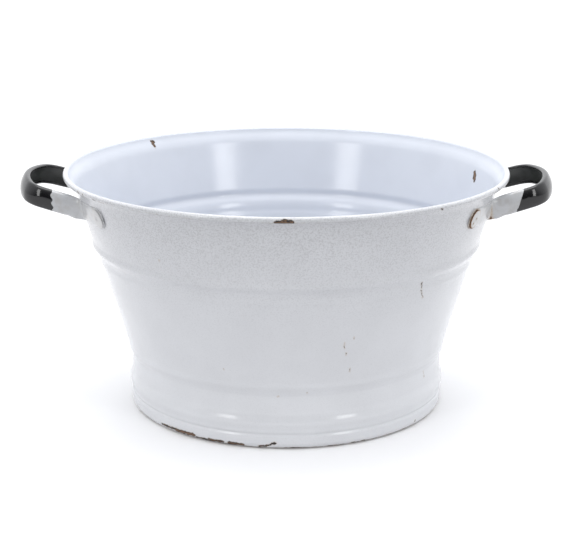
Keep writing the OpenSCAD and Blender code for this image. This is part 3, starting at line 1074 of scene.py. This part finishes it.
@dataclass
class Rivet:
    """A flat-headed rivet with a shallow dome and a dimple, its shank hidden in the sheet."""

    handle: StrapHandle
    place: Place
    rust: float = -3.0
    head_t: float = 0.9
    dome: float = 0.5
    dimple_r: float = 2.5
    dimple_in: float = 0.6
    shank_r: float = 3.0
    pits: tuple[tuple[float, float, float], ...] = ()

    def profile(self) -> np.ndarray:
        """Half section of the rivet from the shank's end to the middle of the head.

        The head's face is a shallow parabola with a parabolic dimple and a rounded edge.
        """
        r = self.handle.head_r
        base = self.handle.seat + self.handle.thick - 0.1
        edge = arc(r - 0.35, base + self.head_t - 0.35, 0.35, 0, 80, 5)
        x = np.linspace(r - 0.5, 0, 30)
        top = base + self.head_t + self.dome * (1 - (x / r) ** 2)
        top = top - self.dimple_in * np.clip(1 - (x / self.dimple_r) ** 2, 0, 1)
        face = np.stack([x, top], -1)
        low = np.array([[0, -0.6], [self.shank_r, -0.6], [self.shank_r, base], [r - 0.4, base], [r, base + 0.2]])
        return np.concatenate([low, edge, face])

    def build(self) -> bpy.types.Object:
        """Makes the rivet and sets it on the wall.

        Returns:
            The object.
        """
        profile = self.profile()
        turns = np.linspace(-np.pi, np.pi, 96, endpoint=False)
        rings = profile[1:-1]
        name = f"{self.handle.side.name.lower()}_{self.place.name.lower()}_rivet"
        uneven = 0.12 * np.cos(3 * turns + 1) + 0.08 * np.cos(5 * turns + 2)
        shift = uneven * ease((rings[:, :1] - 6) / 3)
        radius = rings[:, :1] + shift
        edge = radius - self.handle.head_r + 0.9 + 0.5 * np.cos(turns - math.radians(200))
        rust = np.where(rings[:, 1:] > 1.0, edge, -6.0) + self.rust
        for x, y, half in self.pits:
            gap = np.hypot(radius * np.cos(turns) - x, radius * np.sin(turns) - y)
            rust = np.maximum(rust, half - gap)
        thing = lathe(f"{name}_head", profile, turns, shift, rust=rust)
        turn, z = self.handle.rivet_place()
        azimuth = turn * self.place.value
        out = self.handle.wall.normal(np.array(azimuth))
        up = self.handle.wall.upward(np.array(azimuth))
        basis = np.stack([np.cross(up, out), up, out], -1)
        mesh = thing.data
        co = np.empty(len(mesh.vertices) * 3, np.float32)
        mesh.vertices.foreach_get("co", co)
        placed = co.reshape(-1, 3) @ basis.T + self.handle.wall.place(np.array(azimuth), np.array(z)) * MM
        if self.handle.side is Side.LEFT:
            # half a turn round Z carries the right side's opposite end here without turning it inside out
            flipped = self.handle.wall.normal(np.array(math.pi - azimuth))
            up = self.handle.wall.upward(np.array(math.pi - azimuth))
            basis = np.stack([np.cross(up, flipped), up, flipped], -1)
            centre = self.handle.wall.place(np.array(math.pi - azimuth), np.array(z)) * MM
            placed = co.reshape(-1, 3) @ basis.T + centre
        mesh.vertices.foreach_set("co", placed.astype(np.float32).ravel())
        mesh.update()
        thing.data.materials.append(RivetEnamel(f"{name} enamel").make())
        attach(thing, "root")
        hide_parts(name)
        return thing


@dataclass
class RimWire:
    """The stiffening wire inside the rolled rim, kept from the frame."""

    finish: DrawnSteel = field(default_factory=DrawnSteel)

    def dress(self) -> bpy.types.Object:
        """Gives the frame's wire its steel.

        Returns:
            The frame's object.
        """
        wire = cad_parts["rim_wire"]
        wire.data.materials.clear()
        wire.data.materials.append(self.finish.make())
        return wire


# studio


@dataclass(frozen=True)
class Softbox:
    """A rectangular lamp: where it stands, what it faces, its size in metres and its power."""

    name: str
    at: tuple[float, float, float]
    toward: tuple[float, float, float]
    wide: float
    tall: float
    watts: float

    def build(self) -> None:
        """Adds the lamp to the scene."""
        lamp = bpy.data.lights.new(self.name, "AREA")
        lamp.shape, lamp.size, lamp.size_y, lamp.energy = "RECTANGLE", self.wide, self.tall, self.watts
        thing = bpy.data.objects.new(self.name, lamp)
        thing.location = self.at
        aim = Vector(self.toward) - Vector(self.at)
        thing.rotation_euler = aim.to_track_quat("-Z", "Y").to_euler()
        bpy.context.scene.collection.objects.link(thing)


@dataclass
class Studio:
    """Pale floor, even world, softboxes and the camera at the photograph's angle."""

    lens: float = 97.1
    camera_at: tuple[float, float, float] = (0.0, -1.4983, 0.5463)
    pitch: float = 15.44
    yaw: float = 0.05
    table: tuple[float, float] = (0.22, 0.74)
    world: tuple[float, float] = (0.05, 1.26)

    def build_floor(self) -> bpy.types.Object:
        """Makes the floor: a wide grid that shows white to the camera and keeps a faint shadow."""
        side = np.linspace(-9000, 9000, 13)
        x, y = np.meshgrid(side, side, indexing="ij")
        points = np.stack([x, y, 0 * x - 0.3], -1).reshape(-1, 3)
        row, column = np.meshgrid(np.arange(12), np.arange(12), indexing="ij")
        a = (row * 13 + column).ravel()
        faces = np.stack([a, a + 13, a + 14, a + 1], -1).tolist()
        floor = make_mesh("floor", points, faces)
        bench = Bench("pale floor")
        path = bench.add("ShaderNodeLightPath")
        seen = bench.maths("MAXIMUM", path.outputs["Is Camera Ray"], path.outputs["Is Glossy Ray"])
        seen = bench.maths("MAXIMUM", seen, path.outputs["Is Transmission Ray"])
        away = bench.vector("LENGTH", bench.here()).outputs["Value"]
        tone = bench.blend(bench.band(away, self.table[0], self.table[1]), (0.86, 0.86, 0.87, 1), (0.16, 0.16, 0.17, 1))
        matt = bench.add("ShaderNodeBsdfDiffuse")
        bench.feed(matt.inputs["Color"], tone)
        glow = bench.add("ShaderNodeEmission")
        glow.inputs["Color"].default_value = WHITE
        bench.feed(glow.inputs["Strength"], bench.band(away, self.table[0], self.table[1], 0.12, 1.0))
        both = bench.add("ShaderNodeAddShader")
        bench.feed(both.inputs[0], matt.outputs[0])
        bench.feed(both.inputs[1], glow.outputs[0])
        mixed = bench.add("ShaderNodeMixShader")
        bench.feed(mixed.inputs[0], seen)
        bench.feed(mixed.inputs[1], matt.outputs[0])
        bench.feed(mixed.inputs[2], both.outputs[0])
        bench.feed(bench.output.inputs["Surface"], mixed.outputs[0])
        floor.data.materials.append(bench.material)
        return floor

    def build_world(self) -> None:
        """Lights softly from above and behind, dimly from the viewer's side, and shows white to the camera.

        The strength is a smooth step of the direction's share along a line up and away from the viewer,
        plus a third of the square of its sideways part.
        """
        world = bpy.data.worlds.new("studio")
        bpy.context.scene.world = world
        world.use_nodes = True
        nodes, link = world.node_tree.nodes, world.node_tree.links.new
        nodes.clear()
        path, plain, shown, mix, out, place, share, step, parts, square, both = (nodes.new(kind) for kind in (
            "ShaderNodeLightPath", "ShaderNodeBackground", "ShaderNodeBackground", "ShaderNodeMixShader",
            "ShaderNodeOutputWorld", "ShaderNodeTexCoord", "ShaderNodeVectorMath", "ShaderNodeMapRange",
            "ShaderNodeSeparateXYZ", "ShaderNodeMath", "ShaderNodeMath"))
        square.operation, both.operation = "MULTIPLY", "MULTIPLY_ADD"
        both.inputs[1].default_value = 0.33
        share.operation, step.interpolation_type = "DOT_PRODUCT", "SMOOTHSTEP"
        share.inputs[1].default_value = (0, 0.55, 0.83)
        for socket, number in zip(list(step.inputs)[1:5], (-0.42, 0.75, *self.world)):
            socket.default_value = number
        link(place.outputs["Generated"], share.inputs[0])
        link(place.outputs["Generated"], parts.inputs[0])
        link(parts.outputs[0], square.inputs[0])
        link(parts.outputs[0], square.inputs[1])
        link(square.outputs[0], both.inputs[0])
        link(share.outputs["Value"], both.inputs[2])
        link(both.outputs[0], step.inputs[0])
        link(step.outputs[0], plain.inputs["Strength"])
        plain.inputs["Color"].default_value = (0.97, 0.98, 1.0, 1)
        shown.inputs["Color"].default_value = WHITE
        shown.inputs["Strength"].default_value = 1.0
        link(path.outputs["Is Camera Ray"], mix.inputs[0])
        link(plain.outputs[0], mix.inputs[1])
        link(shown.outputs[0], mix.inputs[2])
        link(mix.outputs[0], out.inputs["Surface"])

    def build_camera(self) -> None:
        """Puts the camera where the photograph was taken from."""
        data = bpy.data.cameras.new("camera")
        data.lens, data.sensor_width, data.sensor_fit = self.lens, 36.0, "HORIZONTAL"
        data.clip_start, data.clip_end = 0.05, 60.0
        camera = bpy.data.objects.new("camera", data)
        camera.location = self.camera_at
        camera.rotation_euler = (math.radians(90 - self.pitch), 0, math.radians(self.yaw))
        bpy.context.scene.collection.objects.link(camera)
        bpy.context.scene.camera = camera

    def build(self) -> None:
        """Builds floor, world, lamps and camera."""
        bpy.context.scene.view_settings.view_transform = "Standard"
        self.build_floor()
        self.build_world()
        for box in (
                Softbox("left softbox", (-1.15, -1.35, 0.75), (0, 0, 0.12), 0.42, 1.0, 6.5),
                Softbox("right softbox", (1.15, -1.35, 0.75), (0, 0, 0.12), 0.38, 1.0, 6.5),
                Softbox("top softbox", (0.0, 0.25, 1.9), (0, 0, 0.1), 1.3, 1.0, 14.0)):
            box.build()
        self.build_camera()


def basin_marks() -> tuple[Mark, ...]:
    """The wear on this basin, at listed places round the tub."""
    chip, stain, inside = Wear.CHIP, Wear.STAIN, Face.INSIDE
    return (
        # rolled rim
        Mark(-92.3, 233.6, -88.6, 233.4, 2.1), Mark(-91.2, 235.2, -89.2, 235.0, 1.6),
        Mark(-167.3, 234.5, -167.0, 232.6, 0.7), Mark(-164.5, 236.5, -164.2, 234.0, 0.5),
        Mark(-151.5, 235.5, -150.8, 233.2, 0.7), Mark(-148.6, 234.6, -148.3, 233.0, 0.8),
        Mark(-143.6, 233.4, -142.6, 232.8, 0.8), Mark(-141.2, 233.0, -138.9, 232.6, 0.8),
        Mark(2.6, 236.8, 3.4, 235.0, 0.6), Mark(-1.0, 236.4, 0.2, 234.5, 0.5),
        Mark(-25.9, 236.4, -25.4, 235.0, 0.7), Mark(-51.3, 234.4, -51.0, 233.8, 0.9),
        # bottom edge
        Mark(-139.6, 4.2, -131.5, 4.6, 1.3), Mark(-132.5, 3.6, -124.2, 4.0, 2.2),
        Mark(-123.0, 2.2, -118.4, 2.4, 1.3), Mark(-117.6, 3.0, -112.6, 3.2, 1.7),
        Mark(-110.2, 3.0, -105.2, 2.6, 1.8), Mark(-99.2, 2.4, -96.4, 3.6, 1.5),
        Mark(-96.6, 3.8, -93.8, 6.8, 1.1), Mark(-66.4, 1.8, -65.6, 1.8, 1.0),
        Mark(-62.8, 1.8, -62.0, 1.8, 1.0), Mark(-37.5, 5.0, -37.3, 6.0, 0.8),
        # knocks on the wall
        Mark(-48.4, 158.0, -48.1, 152.0, 0.8), Mark(-48.0, 150.0, -46.2, 141.0, 0.45),
        Mark(-72.0, 107.5, -72.0, 101.0, 0.40), Mark(-69.2, 112.5, -69.2, 110.0, 0.45),
        Mark(-71.1, 96.0, -71.0, 93.5, 0.45), Mark(-69.0, 79.0, -68.9, 75.5, 0.40),
        Mark(-31.9, 52.5, -31.0, 45.0, 0.35), Mark(-125.7, 184.0, -125.7, 183.0, 0.55),
        Mark(-110.6, 78.0, -110.5, 77.6, 0.40), Mark(-92.8, 52.6, -92.7, 52.3, 0.55),
        Mark(-83.0, 55.6, -82.9, 55.2, 0.45),
        # the far side, which the viewer doesn't see
        Mark(62.0, 3.6, 70.5, 3.4, 1.6), Mark(118.0, 2.8, 122.0, 3.0, 1.2), Mark(88.0, 234.0, 90.0, 233.6, 1.4),
        Mark(47.0, 120.0, 47.6, 113.0, 0.6), Mark(101.0, 60.0, 101.6, 56.0, 0.8),
        # inside
        Mark(18.2, 218.2, 16.9, 211.2, 2.4, chip, inside), Mark(17.6, 215.5, 17.3, 213.0, 3.2, chip, inside),
        Mark(133.9, 232.8, 133.1, 232.2, 2.3, chip, inside), Mark(133.5, 231.0, 133.2, 228.0, 1.6, chip, inside),
        # stains along the rim's left front
        Mark(-139.0, 232.9, -126.0, 232.9, 0.9, stain), Mark(-124.0, 233.2, -112.0, 233.0, 0.7, stain),
        Mark(-164.0, 233.5, -150.0, 233.2, 0.9, stain), Mark(-30.0, 233.5, -20.0, 234.0, 0.8, stain),
        Mark(-95.5, 233.0, -86.0, 232.9, 0.9, stain),
    )


def main() -> None:
    """Builds the basin piece by piece, then the studio round it."""
    logging.basicConfig(level=logging.INFO, format="%(name)s: %(message)s")
    wall = Wall()
    tub = Tub(wall, basin_marks()).build()
    log.info("tub: %d faces", len(tub.data.polygons))
    left = StrapHandle(wall, Side.LEFT, black_at=(22.4, 0.35, 0.9))
    right = StrapHandle(wall, Side.RIGHT, rust=0.0, ring_rust=0.0)
    for handle in (left, right):
        strap = handle.build()
        log.info("%s: %d faces", strap.name, len(strap.data.polygons))
        for place in Place:
            worn = handle is right and place is Place.FRONT
            pits = ((-3.2, -3.4, 1.1), (1.4, 0.6, 0.7)) if worn else ()
            rivet = Rivet(handle, place, rust=0.0 if worn else -2.2, pits=pits).build()
            log.info("%s: %d faces", rivet.name, len(rivet.data.polygons))
    log.info("%s: kept from the frame", RimWire().dress().name)
    Studio().build()


if __name__ == "__main__":
    main()
